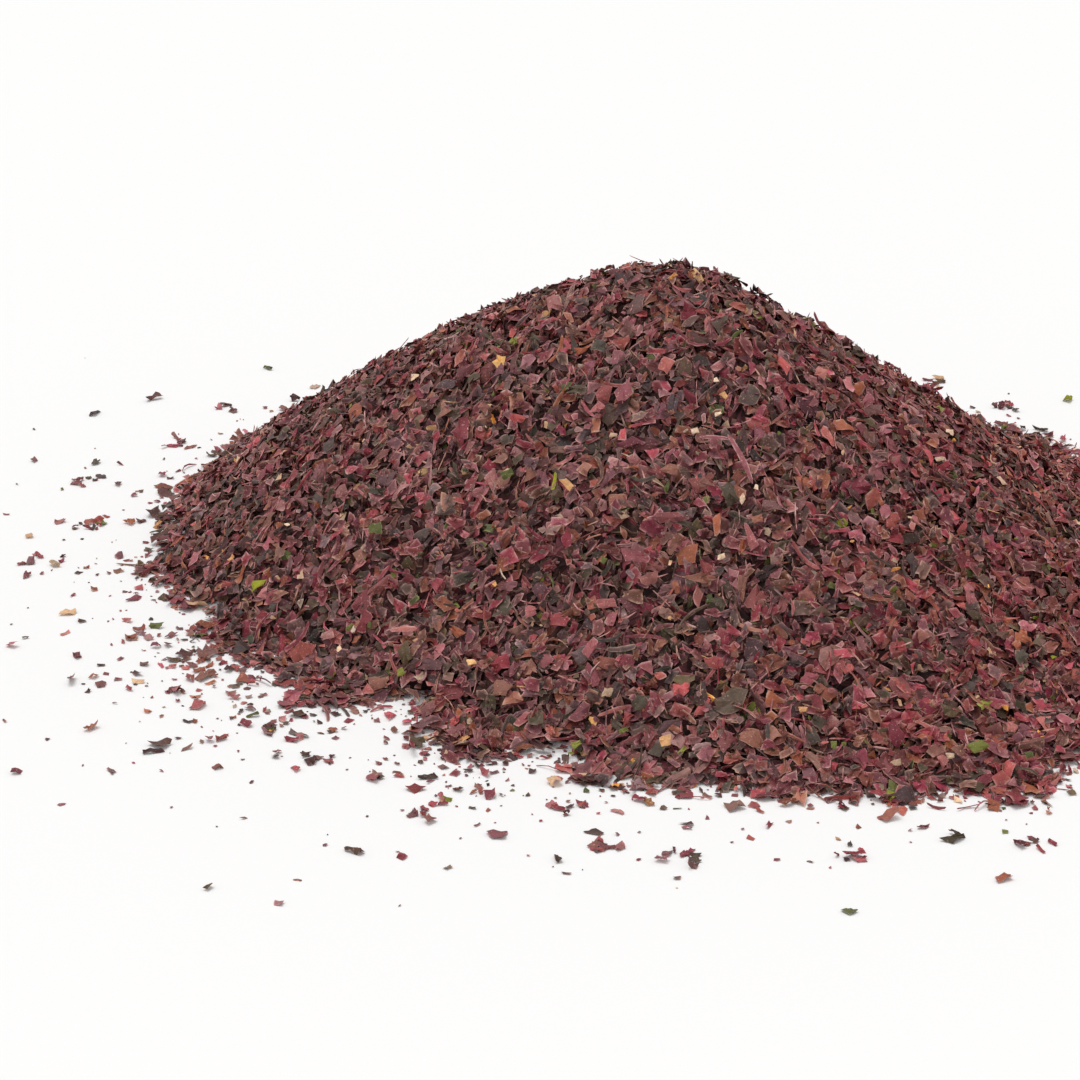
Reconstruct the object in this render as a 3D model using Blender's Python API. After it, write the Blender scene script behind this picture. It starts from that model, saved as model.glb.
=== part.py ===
"""A heap of dried laver flakes, with loose flakes lying round its foot.

The heap is one body: a mound of packed crumb with overlapping flakes sunk into it.
The loose flakes lie on the surface beside it, singly and in small overlapping clumps.
Lengths are in metres, +Z is up, and the origin is on the surface, below the peak.
"""

import math
import random

import bmesh
import bpy
from mathutils import Matrix, Vector, noise

MM = 0.001
GOLDEN_ANGLE = math.pi * (3 - math.sqrt(5))

# The heap: its height, its mean radius at the foot, and how blunt its peak is.
HEAP_HEIGHT = 47.0 * MM
FOOT_RADIUS = 77.5 * MM
PEAK_BLUNTNESS = 0.18
# The foot's outline swells this many times round, by this much, first in this direction.
FOOT_LOBES = (
    (1, 9.9 * MM, math.radians(16)),
    (2, 8.8 * MM, math.radians(-28)),
    (3, 1.9 * MM, math.radians(36)),
)
# How hollow the slope is: 1 is a straight slope, and more runs out flatter at the foot.
SLOPE_FLARE = 1.09
SLOPE_FLARE_SWING = 0.24
SLOPE_FLARE_SIDE = math.radians(-12)

# The packed mound lies this far under the heap's surface, and the flakes stand out of it.
MOUND_DEPTH = 0.1 * MM
MOUND_SIDES = 34
MOUND_RINGS = 7
MOUND_ROUGHNESS = 0.2 * MM
MOUND_ROUGH_SPAN = 14.0 * MM
MOUND_ROOT = 2.0 * MM

# The flakes that cover the mound, larger than life, each rooted in it along its lower edge.
FLAKE_SPACING = 7.8 * MM
FLAKE_STRAY = 1.2 * MM
FOOT_FRINGE = 1.5 * MM
FLAKE_LENGTH = (9.0 * MM, 12.0 * MM)
FLAKE_WIDTH = (7.0 * MM, 9.0 * MM)
FLAKE_THICKNESS = 0.9 * MM
FLAKE_CORNERS = (4, 5, 5)
FLAKE_ROOT = 0.4 * MM
FLAKE_TILT = (math.radians(6), math.radians(20))
STEEP_SHARE = 0.06
STEEP_TILT = (math.radians(36), math.radians(60))
# A corner of a flake stands this much nearer to its middle or further from it.
CORNER_WANDER = 0.16

# The loose flakes round the foot: clumps close in, single flakes further out.
CLUMP_COUNT = 26
CLUMP_OUT = (9.8 * MM, 19.0 * MM)
CLUMP_FLAKES = (3, 4)
CLUMP_SPREAD = 1.7 * MM
CLUMP_STEP = 0.45 * MM
CLUMP_TILT = (math.radians(8), math.radians(28))
SINGLE_COUNT = 32
SINGLE_OUT = (9.8 * MM, 31.0 * MM)
SINGLE_CURL = 0.18
LOOSE_LENGTH = (3.8 * MM, 6.2 * MM)
LOOSE_WIDTH = (2.5 * MM, 4.2 * MM)
LOOSE_THICKNESS = 0.7 * MM
LOOSE_CORNERS = (4, 5, 6)
LOOSE_SINK = 0.15 * MM
# The middles of two loose pieces are this far apart.
CLUMP_ROOM = 9.5 * MM
SINGLE_ROOM = 7.5 * MM
# Most of the loose flakes have slid down to this side, and few lie opposite it.
LOOSE_SIDE = math.radians(225)
LOOSE_BIAS = 0.55
# Above 1, the loose flakes crowd towards the heap.
LOOSE_CROWDING = 1.4
COVER_SEED = 11
LOOSE_SEED = 5

# Faces that meet within this angle are one flat face.
FLAT_ANGLE = math.radians(0.1)
# Points this close are one point.
WELD = 0.001 * MM

LAVER_COLOURS = {
    "laver_maroon": (0.115, 0.045, 0.042),
    "laver_dark": (0.035, 0.017, 0.016),
    "laver_rose": (0.300, 0.120, 0.115),
    "laver_umber": (0.155, 0.062, 0.024),
    "laver_green": (0.060, 0.070, 0.012),
    "laver_amber": (0.360, 0.170, 0.024),
    "laver_straw": (0.480, 0.330, 0.150),
}
LAVER_ROUGHNESS = 0.55
CLUMP_COLOURS = ("laver_maroon", "laver_dark", "laver_maroon", "laver_umber")
SINGLE_COLOURS = (
    "laver_maroon",
    "laver_rose",
    "laver_dark",
    "laver_umber",
    "laver_green",
    "laver_amber",
    "laver_dark",
    "laver_straw",
)


def clear_scene():
    for obj in list(bpy.data.objects):
        bpy.data.objects.remove(obj)


def new_collection(name):
    collection = bpy.data.collections.new(name)
    bpy.context.scene.collection.children.link(collection)
    return collection


def make_material(name):
    material = bpy.data.materials.new(name)
    material.use_nodes = True
    shader = material.node_tree.nodes["Principled BSDF"]
    shader.inputs["Base Color"].default_value = (*LAVER_COLOURS[name], 1.0)
    shader.inputs["Roughness"].default_value = LAVER_ROUGHNESS
    shader.inputs["Metallic"].default_value = 0.0
    return material


def new_object(name, bm, collection, material=None):
    mesh = bpy.data.meshes.new(name)
    bm.to_mesh(mesh)
    bm.free()
    obj = bpy.data.objects.new(name, mesh)
    collection.objects.link(obj)
    if material:
        mesh.materials.append(material)
    return obj


def foot_radius(angle):
    """How far the heap's foot is from the point below its peak, in one direction."""
    radius = FOOT_RADIUS
    for count, swell, first in FOOT_LOBES:
        radius += swell * math.cos(count * (angle - first))
    return radius


def heap_height(x, y):
    """The height of the heap's surface over a point: a blunt cone with a hollow slope."""
    angle = math.atan2(y, x)
    out = min(1.0, math.hypot(x, y) / foot_radius(angle))
    blunt = PEAK_BLUNTNESS
    rim = math.hypot(blunt, 1.0)
    cone = (rim - math.hypot(blunt, out)) / (rim - blunt)
    flare = SLOPE_FLARE + SLOPE_FLARE_SWING * math.cos(angle - SLOPE_FLARE_SIDE)
    return HEAP_HEIGHT * max(0.0, cone) ** flare


def heap_normal(x, y):
    step = 1.0 * MM
    slope_x = (heap_height(x + step, y) - heap_height(x - step, y)) / (2 * step)
    slope_y = (heap_height(x, y + step) - heap_height(x, y - step)) / (2 * step)
    return Vector((-slope_x, -slope_y, 1.0)).normalized()


def mound(collection, material):
    """The packed inside of the heap, turned as a disc and raised to just under the surface."""
    bm = bmesh.new()
    spokes = [bm.verts.new((ring / MOUND_RINGS, 0, 0)) for ring in range(MOUND_RINGS + 1)]
    spokes.append(bm.verts.new((1, 0, -1)))
    spokes.append(bm.verts.new((0, 0, -1)))
    edges = [bm.edges.new(pair) for pair in zip(spokes, spokes[1:])]
    bmesh.ops.spin(
        bm,
        geom=spokes + edges,
        axis=(0, 0, 1),
        angle=2 * math.pi,
        steps=MOUND_SIDES,
        use_merge=True,
    )
    bmesh.ops.remove_doubles(bm, verts=bm.verts, dist=WELD)
    for vert in bm.verts:
        shape_mound(vert)
    bmesh.ops.recalc_face_normals(bm, faces=bm.faces)
    return new_object("heap", bm, collection, material)


def shape_mound(vert):
    """Moves a point of the unit disc to the mound, whose base is sunk below the floor."""
    angle = math.atan2(vert.co.y, vert.co.x)
    out = math.hypot(vert.co.x, vert.co.y)
    radius = foot_radius(angle) * out
    x = radius * math.cos(angle)
    y = radius * math.sin(angle)
    if vert.co.z < -0.5:
        vert.co = (x, y, -MOUND_ROOT)
        return
    wander = noise.noise(Vector((x, y, 0)) / MOUND_ROUGH_SPAN)
    vert.co = (x, y, heap_height(x, y) - MOUND_DEPTH + MOUND_ROUGHNESS * wander)


def flake_bmesh(rng, length, width, thickness, corners, curl=0.0):
    """An irregular chip with a flat or a curled face, split alike on both sides."""
    bm = bmesh.new()
    bmesh.ops.create_cone(
        bm,
        cap_ends=True,
        cap_tris=curl != 0.0,
        segments=corners,
        radius1=0.5,
        radius2=0.5,
        depth=thickness,
    )
    bmesh.ops.remove_doubles(bm, verts=bm.verts, dist=WELD)
    reach = {}
    for vert in bm.verts:
        corner = (round(vert.co.x, 4), round(vert.co.y, 4))
        if corner not in reach:
            reach[corner] = 1 + rng.uniform(-CORNER_WANDER, CORNER_WANDER)
        x = vert.co.x * reach[corner] * length
        y = vert.co.y * reach[corner] * width
        vert.co = (x, y, vert.co.z + 4 * curl * x * x / length)
    bmesh.ops.triangulate(bm, faces=bm.faces, quad_method="FIXED")
    return bm


def lay(bm, place, normal, spin, tilt):
    """Turns a flake about its own normal, tips it, and lays it on a slope."""
    slope = normal.to_track_quat("Z", "Y").to_matrix().to_4x4()
    turn = Matrix.Rotation(spin, 4, "Z") @ Matrix.Rotation(tilt, 4, "X")
    bm.transform(Matrix.Translation(place) @ slope @ turn)


def sunflower(spacing):
    """Places spread evenly over the heap's footprint and a little past it, from the middle out."""
    reach = FOOT_FRINGE + max(foot_radius(math.radians(angle)) for angle in range(360))
    count = round(math.pi * reach**2 / spacing**2)
    for index in range(count):
        angle = (index * GOLDEN_ANGLE) % (2 * math.pi)
        radius = reach * math.sqrt((index + 0.5) / count)
        if radius < foot_radius(angle) + FOOT_FRINGE:
            yield Vector((radius * math.cos(angle), radius * math.sin(angle), 0))


def cover_flakes(collection):
    """The flakes of the heap's surface, each with its lower edge sunk into the mound."""
    rng = random.Random(COVER_SEED)
    for place in sunflower(FLAKE_SPACING):
        place.x += rng.uniform(-FLAKE_STRAY, FLAKE_STRAY)
        place.y += rng.uniform(-FLAKE_STRAY, FLAKE_STRAY)
        normal = heap_normal(place.x, place.y)
        tilt = rng.uniform(*(STEEP_TILT if rng.random() < STEEP_SHARE else FLAKE_TILT))
        width = rng.uniform(*FLAKE_WIDTH)
        length = rng.uniform(*FLAKE_LENGTH)
        bm = flake_bmesh(rng, length, width, FLAKE_THICKNESS, rng.choice(FLAKE_CORNERS))
        lift = 0.5 * width * math.sin(tilt) - FLAKE_ROOT
        place.z = heap_height(place.x, place.y)
        lay(bm, place + normal * lift, normal, rng.uniform(0, 2 * math.pi), tilt)
        new_object("cover_flake", bm, collection)


def floor_cutter(collection):
    """A slab whose top is the surface that everything rests on."""
    bm = bmesh.new()
    bmesh.ops.create_cube(bm, size=1.0)
    side = 6 * FOOT_RADIUS
    bmesh.ops.scale(bm, verts=bm.verts, vec=(side, side, 20 * MM))
    bmesh.ops.translate(bm, verts=bm.verts, vec=(0, 0, -10 * MM))
    slab = new_object("floor_cutter", bm, collection)
    slab.hide_render = True
    slab.display_type = "WIRE"
    return slab


def add_boolean(obj, name, operation):
    """The exact solver loses flakes where many cross, so both steps use the manifold one."""
    boolean = obj.modifiers.new(name, "BOOLEAN")
    boolean.operation = operation
    boolean.solver = "MANIFOLD"
    return boolean


def apply_modifiers(obj):
    graph = bpy.context.evaluated_depsgraph_get()
    obj.data = bpy.data.meshes.new_from_object(obj.evaluated_get(graph))
    obj.modifiers.clear()


def fuse(obj, flakes):
    """Joins a collection of flakes to the object that they are sunk into."""
    union = add_boolean(obj, "flakes", "UNION")
    union.operand_type = "COLLECTION"
    union.collection = flakes
    apply_modifiers(obj)
    for flake in list(flakes.objects):
        bpy.data.objects.remove(flake)


def cut_flat(obj, cutter):
    """Cuts an object off level with the floor."""
    cut = add_boolean(obj, "floor", "DIFFERENCE")
    cut.object = cutter
    apply_modifiers(obj)


def clean(obj):
    """Drops loose scraps and sealed hollows, and joins the flat faces that fusing split."""
    bm = bmesh.new()
    bm.from_mesh(obj.data)
    unseen = set(bm.verts)
    shells = []
    while unseen:
        front = {unseen.pop()}
        shell = set(front)
        while front:
            front = {e.other_vert(v) for v in front for e in v.link_edges} - shell
            shell |= front
        unseen -= shell
        shells.append(shell)
    keep = max(shells, key=len)
    bmesh.ops.delete(bm, geom=[v for v in bm.verts if v not in keep], context="VERTS")
    bmesh.ops.dissolve_limit(bm, angle_limit=FLAT_ANGLE, verts=bm.verts, edges=bm.edges)
    bmesh.ops.triangulate(bm, faces=bm.faces)
    bm.to_mesh(obj.data)
    bm.free()


def build_heap(parts, flakes, cutter, material):
    heap = mound(parts, material)
    cover_flakes(flakes)
    fuse(heap, flakes)
    cut_flat(heap, cutter)
    clean(heap)


def loose_places(rng, count, out, room, taken):
    """Places on the floor round the heap, closer together near it and on the side it slid to."""
    places = []
    while len(places) < count:
        angle = rng.uniform(0, 2 * math.pi)
        distance = out[0] + (out[1] - out[0]) * rng.random() ** LOOSE_CROWDING
        wanted = 1 + LOOSE_BIAS * math.cos(angle - LOOSE_SIDE)
        if rng.random() * (1 + LOOSE_BIAS) > wanted:
            continue
        radius = foot_radius(angle) + distance
        place = Vector((radius * math.cos(angle), radius * math.sin(angle), 0))
        if all((place - other).length > room for other in taken):
            places.append(place)
            taken.append(place)
    return places


def loose_flake_bmesh(rng, curl=0.0):
    return flake_bmesh(
        rng,
        rng.uniform(*LOOSE_LENGTH),
        rng.uniform(*LOOSE_WIDTH),
        LOOSE_THICKNESS,
        rng.choice(LOOSE_CORNERS),
        curl,
    )


def floor_height(bm):
    """How high a flake's middle is when its lowest corner has sunk just into the floor."""
    return -min(vert.co.z for vert in bm.verts) - LOOSE_SINK


def single_flake(rng, name, place, parts, cutter, material):
    """One curled flake, which rests where it touches the floor."""
    bm = loose_flake_bmesh(rng, rng.uniform(-SINGLE_CURL, SINGLE_CURL))
    bm.transform(Matrix.Rotation(rng.uniform(0, 2 * math.pi), 4, "Z"))
    bm.transform(Matrix.Translation(place + Vector((0, 0, floor_height(bm)))))
    flake = new_object(name, bm, parts, material)
    cut_flat(flake, cutter)
    clean(flake)


def clump(rng, name, place, parts, flakes, cutter, material):
    """A few flakes leaning on the one that lies flat under them."""
    base = loose_flake_bmesh(rng)
    base.transform(Matrix.Rotation(rng.uniform(0, 2 * math.pi), 4, "Z"))
    base.transform(Matrix.Translation(place + Vector((0, 0, floor_height(base)))))
    obj = new_object(name, base, parts, material)
    for level in range(1, rng.choice(CLUMP_FLAKES)):
        bm = loose_flake_bmesh(rng)
        aside = Vector((rng.uniform(-1, 1), rng.uniform(-1, 1), 0)) * CLUMP_SPREAD
        up = Vector((0, 0, LOOSE_THICKNESS / 2 + level * CLUMP_STEP))
        spin = rng.uniform(0, 2 * math.pi)
        lay(bm, place + aside + up, Vector((0, 0, 1)), spin, rng.uniform(*CLUMP_TILT))
        new_object("leaning_flake", bm, flakes)
    fuse(obj, flakes)
    cut_flat(obj, cutter)
    clean(obj)


def build_loose_flakes(parts, flakes, cutter, materials):
    rng = random.Random(LOOSE_SEED)
    taken = []
    clumps = loose_places(rng, CLUMP_COUNT, CLUMP_OUT, CLUMP_ROOM, taken)
    singles = loose_places(rng, SINGLE_COUNT, SINGLE_OUT, SINGLE_ROOM, taken)
    for index, place in enumerate(clumps):
        material = materials[CLUMP_COLOURS[index % len(CLUMP_COLOURS)]]
        clump(rng, f"clump_{index + 1:02d}", place, parts, flakes, cutter, material)
    for index, place in enumerate(singles):
        material = materials[SINGLE_COLOURS[index % len(SINGLE_COLOURS)]]
        single_flake(rng, f"loose_flake_{index + 1:02d}", place, parts, cutter, material)


def main():
    clear_scene()
    parts = new_collection("laver_flake_heap")
    flakes = new_collection("flakes_to_fuse")
    cutters = new_collection("cutters")
    materials = {name: make_material(name) for name in LAVER_COLOURS}
    cutter = floor_cutter(cutters)
    build_heap(parts, flakes, cutter, materials["laver_maroon"])
    build_loose_flakes(parts, flakes, cutter, materials)


main()
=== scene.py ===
"""Dried laver flakes in a heap, with loose flakes and crumbs lying round its foot.

The heap's form is the same formula as the solids'. Tens of thousands of thin flakes lie on it,
in pieces by colour. Lengths are in metres, +Z is up, and the origin is below the peak.
"""

import math
from collections import namedtuple

import bpy
import numpy as np
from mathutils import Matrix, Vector


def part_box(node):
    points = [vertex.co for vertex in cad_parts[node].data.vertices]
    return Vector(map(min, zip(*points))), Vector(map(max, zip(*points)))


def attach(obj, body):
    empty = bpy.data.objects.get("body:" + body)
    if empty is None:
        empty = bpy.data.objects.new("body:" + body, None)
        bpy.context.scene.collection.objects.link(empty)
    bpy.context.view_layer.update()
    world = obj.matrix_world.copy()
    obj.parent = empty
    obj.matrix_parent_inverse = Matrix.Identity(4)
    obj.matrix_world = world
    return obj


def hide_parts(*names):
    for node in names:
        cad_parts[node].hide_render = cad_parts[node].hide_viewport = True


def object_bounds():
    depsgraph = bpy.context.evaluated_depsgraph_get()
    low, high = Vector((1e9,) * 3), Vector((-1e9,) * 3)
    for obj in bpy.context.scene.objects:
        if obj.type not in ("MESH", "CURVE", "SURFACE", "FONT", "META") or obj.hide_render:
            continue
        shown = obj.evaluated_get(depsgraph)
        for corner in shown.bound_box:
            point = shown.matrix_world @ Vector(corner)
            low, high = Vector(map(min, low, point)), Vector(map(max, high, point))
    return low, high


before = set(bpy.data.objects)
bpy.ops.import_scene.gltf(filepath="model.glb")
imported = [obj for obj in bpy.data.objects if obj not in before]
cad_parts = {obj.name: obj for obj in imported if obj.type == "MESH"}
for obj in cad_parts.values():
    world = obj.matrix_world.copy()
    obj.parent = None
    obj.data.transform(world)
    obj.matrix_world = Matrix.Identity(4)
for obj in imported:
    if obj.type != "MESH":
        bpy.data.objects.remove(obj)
CAD_BOX = [list(corner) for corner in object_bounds()]

MM = 0.001
FULL_TURN = 2 * math.pi
GOLDEN_ANGLE = math.pi * (3 - math.sqrt(5))

# Where the random draws start for the core, the flakes on the heap and the loose flakes.
CORE_SEED = 3
HEAP_SEED = 17
LOOSE_SEED = 29

# The heap, as the solids have it.
HEAP_HEIGHT = 47.0 * MM
FOOT_RADIUS = 77.5 * MM
PEAK_BLUNTNESS = 0.18
FOOT_LOBES = (
    (1, 9.9 * MM, math.radians(16)),
    (2, 8.8 * MM, math.radians(-28)),
    (3, 1.9 * MM, math.radians(36)),
)
SLOPE_FLARE = 1.09
SLOPE_FLARE_SWING = 0.24
SLOPE_FLARE_SIDE = math.radians(-12)
# Low swells where flakes have slid: height, length, and direction in degrees of each wave.
SWELLS = (
    (0.40 * MM, 31 * MM, 20),
    (0.40 * MM, 19 * MM, 100),
    (0.30 * MM, 12 * MM, -40),
    (0.28 * MM, 8.3 * MM, 65),
    (0.26 * MM, 6.1 * MM, -15),
    (0.24 * MM, 4.9 * MM, 128),
)
# How far to either side of a point its slope is measured.
SLOPE_STEP = 0.5 * MM

# The crumb under the flakes: its depth, its rings, which lie closer at the foot, and its sides, how
# far it ends inside the flakes' edge, how far its points stray sideways and up, their least height,
# and the angle from which its edges look sharp.
CORE_DEPTH = 3.1 * MM
CORE_RINGS = 80
CORE_RING_POWER = 0.85
CORE_SIDES = 220
CORE_INSET = 4 * MM
CORE_STRAY = 0.18 * MM
CORE_CRUMB = 0.55 * MM
CORE_LOWEST = 0.15 * MM
CORE_SHARP = math.radians(12)

# The view: the surface under the peak falls on this pixel of a frame this wide.
FRAME_PIXELS = 1080
PEAK_PIXEL = (655, 570)
VIEW_ELEVATION = math.radians(23)
VIEW_DISTANCE = 500 * MM
PIXELS_PER_MM = 6.75
SENSOR_WIDTH = 36.0
CLIP_NEAR = 10 * MM
CLIP_FAR = 10_000 * MM
# Where the ray through a pixel looks for the heap, as shares of the view's distance.
RAY_NEAR = 0.75
RAY_FAR = 1.35
RAY_STEPS = 12_000

# The gap between the floor and the flakes.
FLOOR_GAP = 0.02 * MM

# Where the flakes end short of the solids' foot, or past it: how far, and which way and how
# widely in degrees.
FOOT_TRIMS = (
    (3.4 * MM, 165, 9),
    (-3.4 * MM, 212, 12),
    (3.0 * MM, 234, 3.5),
    (-2.8 * MM, 243, 4),
    (-4.0 * MM, 249.5, 4.5),
    (3.6 * MM, 258, 4),
    (4.2 * MM, 287, 13),
    (1.5 * MM, 283, 4),
    (-2.0 * MM, 291, 4),
    (-2.0 * MM, 301, 4),
    (4.5 * MM, 310, 5),
    (-2.5 * MM, 222, 3.5),
    (-1.5 * MM, 208, 4),
    (-1.5 * MM, 289, 4),
)
# How the edge of the flakes swings in and out: how often round the foot, how far, and in which
# direction it is out, in degrees.
FOOT_WAVES = (
    (18, 1.7 * MM, 243),
    (7, 0.7 * MM, 20),
    (31, 0.7 * MM, 4),
)

# The form of chips: their length, width as a share of it and thickness, each from the least to the
# greatest, their curl, and whether they have an inner outline. Strips have a real width, a bend,
# so many stations, and a middle as pale as this, where their edges are 1; that pale is partly the
# leaf's paler edge and partly painted highlight.
Chip = namedtuple("Chip", "length slim thickness curl ringed")
Strip = namedtuple("Strip", "length width thickness bend stations spine")
# A chip's outline: how far a corner strays as a share of the way to the next, with three corners
# or more, the share of chips that line up with their length, how far out a corner lies, how far a
# point between corners strays as a share of a step, and how far it is torn in or out.
CORNER_STRAY_OF_THREE = 0.2
CORNER_STRAY = 0.28
LINED_UP = 0.5
CORNER_OUT = (0.72, 1.0)
STEP_STRAY = 0.25
TORN = (0.92, 1.16)
# How far a chip's outline lies off its plane as a share of its length, how large its inner outline
# is beside the outer one, and how much of the crumple that takes.
CRUMPLE = 0.055
RING_SIZE = (0.74, 0.84)
RING_CRUMPLE = 0.6
# How chips curl: the share that bend across their width, how far a bend strays in radians, the
# share that curl more and how much more, and how much they twist.
BENT_ACROSS = 0.35
BEND_STRAY = 0.45
MORE_CURLED = 0.2
MORE_CURL = 2.3
TWIST = 0.3
# A strip: where its outer stations lie on its length, how uneven its width is, how much narrower
# it gets, how far it rolls and twists about its length in radians, and how far it bends aside and
# up as a share of its length.
STRIP_END = 0.42
STRIP_UNEVEN = (0.75, 1.1)
STRIP_TAPER = (0.1, 0.7)
STRIP_ROLL = 0.6
STRIP_TWIST = 0.9
STRIP_BEND = 0.35
STRIP_CURL = 0.5

# The layers of flakes on the heap, in the order in which they are laid: how many there are, the
# share of each kind with a chip's corners and steps, their form, how far they stray from even
# places and lie past the edge, the mean and the spread of how high their middles lie over the
# surface, and the spread of their lean.
Layer = namedtuple("Layer", "count kinds form stray past depth lean")
LAYERS = (
    Layer(
        count=3200,
        kinds=((0.2, 3, 4), (0.55, 4, 3), (0.25, 5, 2)),
        form=Chip((3.2 * MM, 5.5 * MM), (0.34, 0.78), (0.14 * MM, 0.24 * MM), 1.1, True),
        stray=2.5 * MM,
        past=0,
        depth=(-0.75 * MM, 0.35 * MM),
        lean=math.radians(28),
    ),
    Layer(
        count=12500,
        kinds=((0.2, 3, 3), (0.35, 4, 3), (0.25, 4, 2), (0.2, 5, 2)),
        form=Chip((2.0 * MM, 4.5 * MM), (0.30, 0.84), (0.12 * MM, 0.22 * MM), 1.3, False),
        stray=1.3 * MM,
        past=0.5 * MM,
        depth=(-0.80 * MM, 0.42 * MM),
        lean=math.radians(38),
    ),
    Layer(
        count=17000,
        kinds=((0.4, 4, 1), (0.6, 5, 1)),
        form=Chip((2.0 * MM, 3.6 * MM), (0.5, 0.9), (0.14 * MM, 0.24 * MM), 0.9, False),
        stray=0.8 * MM,
        past=-0.5 * MM,
        depth=(-1.9 * MM, 0.45 * MM),
        lean=math.radians(34),
    ),
    Layer(
        count=3000,
        kinds=((1,),),
        form=Strip((2.2 * MM, 5.6 * MM), (0.3 * MM, 0.8 * MM), (0.12 * MM, 0.24 * MM), 1.0, 4, 0.3),
        stray=2.0 * MM,
        past=0.5 * MM,
        depth=(-0.8 * MM, 0.45 * MM),
        lean=math.radians(26),
    ),
    # Thin slivers whose middles are nearly as pale as their edges: partly the leaf's paler torn edge
    # and partly painted highlight of edges that catch the light.
    Layer(
        count=1400,
        kinds=((1,),),
        form=Strip((1.8 * MM, 4.5 * MM), (0.14 * MM, 0.3 * MM), (0.1 * MM, 0.16 * MM), 0.9, 3, 0.95),
        stray=2.0 * MM,
        past=0.5 * MM,
        depth=(-0.45 * MM, 0.20 * MM),
        lean=math.radians(14),
    ),
    Layer(
        count=6500,
        kinds=((0.55, 4, 1), (0.45, 5, 1)),
        form=Chip((0.7 * MM, 1.8 * MM), (0.35, 0.95), (0.12 * MM, 0.24 * MM), 0.6, False),
        stray=1.5 * MM,
        past=1.5 * MM,
        depth=(-0.85 * MM, 0.45 * MM),
        lean=math.radians(42),
    ),
)
# How many directions give the area of the heap's foot.
FOOT_DIRECTIONS = 360
# How much steeper than the slope the flakes lie, the share that stand on edge and how steeply,
# how steeply the others lean at most, and the least depth of a flake's middle.
STEEPER = 0.24
ON_EDGE = 0.13
ON_EDGE_LEAN = (math.radians(50), math.radians(85))
STEEPEST_LEAN = math.radians(70)
LEAST_DEPTH = 0.25 * MM
# How much deeper a flake lies for its lean, as a share of how high that raises its end.
SUNK = 0.78
# At the foot the flakes lie nearly flat on the floor: how nearly, and how far in that fades.
FLATTER = 0.72
FLAT_REACH = 5.0 * MM

# The share of each colour.
COLOUR_SHARES = {
    "laver_maroon": 0.491,
    "laver_dark": 0.19,
    "laver_rose": 0.135,
    "laver_umber": 0.151,
    "laver_green": 0.020,
    "laver_amber": 0.010,
    "laver_straw": 0.018,
}
# The bright colours are mostly on small flakes: they have their share at this half length, and
# thin out with this power of it, between these limits.
ACCENTS = ("laver_green", "laver_amber", "laver_straw")
ACCENT_REACH = 1.25 * MM
ACCENT_POWER = 4
ACCENT_LIMITS = (0.03, 2.5)
# How pale the flakes on the heap and the loose ones are from 0 to 1, the loose ones paler with
# painted light, as of the white floor's light through and round thin flakes, and how far a flake
# strays from that; how strong its colour is, how far it strays from that, and its limits.
HEAP_PALE = 0.47
LOOSE_PALE_WITH_PAINTED_LIGHT = 0.6
TONE_STRAY = 0.24
CHROMA = 0.99
CHROMA_STRAY = 0.18
CHROMA_LIMITS = (0.5, 1.18)
# The colours are stronger and less even towards +X: where that starts, over how far it rises, and
# by how much.
RICHER_FROM = 5 * MM
RICHER_OVER = 60 * MM
RICHER_CHROMA = 0.22
RICHER_TONES = 0.08
# How many pieces a colour fills where one would hold too many triangles.
PIECES_OF = {"laver_maroon": 3}
# The angle from which a flake's edge looks sharp.
FLAKE_SHARP = math.radians(38)
# How far a flake's chart reaches from the middle of its cell, which is 1 wide.
CHART_REACH = 0.44

# Loose flakes: how many lie on a square millimetre at the foot on their own side, where that is
# and how wide, the share elsewhere, over how far they thin out there and how much further on
# their own side, and the same for the few far out.
LOOSE_DENSITY = 0.72 / MM**2
LOOSE_SIDE = math.radians(226)
LOOSE_SPREAD = math.radians(48)
LOOSE_ELSEWHERE = 0.40
LOOSE_REACH = 3.0 * MM
LOOSE_REACH_MORE = 5.4 * MM
LOOSE_TAIL = 0.026 / MM**2
LOOSE_TAIL_ELSEWHERE = 0.3
LOOSE_TAIL_REACH = 22 * MM
# Their gap to the sides of the solids' box, and how far under the heap's edge they start.
LOOSE_MARGIN = 3 * MM
LOOSE_UNDER = 3 * MM
# The shares of the colours take this power, so that they are more even.
LOOSE_COLOUR_POWER = 0.85
# The scattered ones: their lean in radians, and the share, corners, steps and form of each kind.
SCATTERED_LEAN = 0.2
SCATTERED = (
    (0.09, 4, 3, Chip((2.2 * MM, 4.2 * MM), (0.35, 0.8), (0.1 * MM, 0.2 * MM), 0.9, True)),
    (0.32, 4, 2, Chip((1.2 * MM, 2.6 * MM), (0.35, 0.85), (0.1 * MM, 0.2 * MM), 0.9, False)),
    (0.22, 5, 1, Chip((0.7 * MM, 1.5 * MM), (0.45, 1.0), (0.1 * MM, 0.2 * MM), 0.9, False)),
    (0.37, 4, 1, Chip((0.3 * MM, 0.8 * MM), (0.5, 1.0), (0.1 * MM, 0.2 * MM), 0.9, False)),
)
# The corners and steps of chips that are made on their own.
OWN_CORNERS = 4
OWN_STEPS = 3
# A clump: its flakes, how far they stray and stray at most as shares of its size, their form, and
# their lean in radians.
CLUMP_FLAKES = 8
CLUMP_STRAY = 0.28
CLUMP_STRAY_MOST = 0.42
CLUMP_FORM = Chip((1.3 * MM, 3.1 * MM), (0.35, 0.8), (0.14 * MM, 0.22 * MM), 0.9, True)
CLUMP_LEAN = 0.28
# A lone flake: its length as a share of its solid's, its form but for that, its lean in radians,
# and the order in which the colours come round.
LONE_LENGTH = (0.6, 0.85)
LONE_FORM = Chip(None, (0.4, 0.75), (0.14 * MM, 0.22 * MM), 0.8, True)
LONE_LEAN = 0.12
LONE_COLOURS = ("maroon", "rose", "dark", "umber", "green", "amber", "dark", "straw")

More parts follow.
